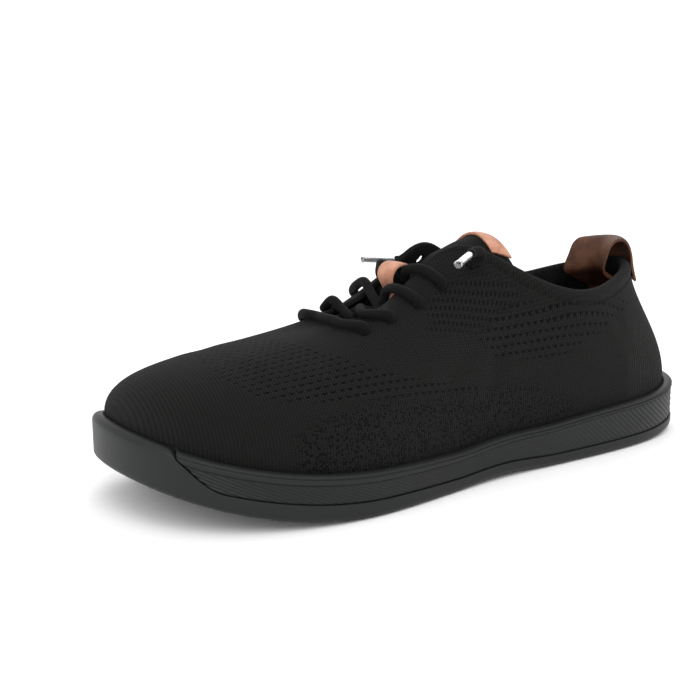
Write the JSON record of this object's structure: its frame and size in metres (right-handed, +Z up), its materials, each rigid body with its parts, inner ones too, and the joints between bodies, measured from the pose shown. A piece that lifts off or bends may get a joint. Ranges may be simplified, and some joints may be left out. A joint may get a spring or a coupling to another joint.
{
  "type": "barefoot shoe",
  "caption": "Low laced barefoot shoe for the left foot: hollow knitted upper on a thin ribbed rubber cup sole, with leather pull loop.",
  "frame": {"origin": "on the floor under the shoe, midway between heel and toe of the sole and on its length line", "axes": "+X to the toe, +Y to the outer (little toe) side, +Z up"},
  "size_m": [0.288, 0.1102, 0.1],
  "materials": {
    "sole_rubber": "satin dark grey rubber",
    "lining": "flat black textile",
    "knit": "black knit",
    "lace": "matt round charcoal lace",
    "light_leather": "matt pinkish tan leather",
    "brown_leather": "saddle brown leather",
    "tip_film": "clear film over the lace end"
  },
  "bodies": {
    "root": {"outsole": "sole_rubber", "midsole": "sole_rubber", "insole": "lining", "upper": "knit", "tongue": "knit", "tongue_label": "light_leather", "lace_bar": "lace", "lace_crossing_1": "lace", "lace_crossing_2": "lace", "lace_crossing_3": "lace", "lace_keeper": "light_leather", "heel_loop": "brown_leather", "lace_end_outer": "lace", "lace_end_inner": "lace", "lace_tip_outer": "tip_film", "lace_tip_inner": "tip_film"}
  },
  "joints": []
}
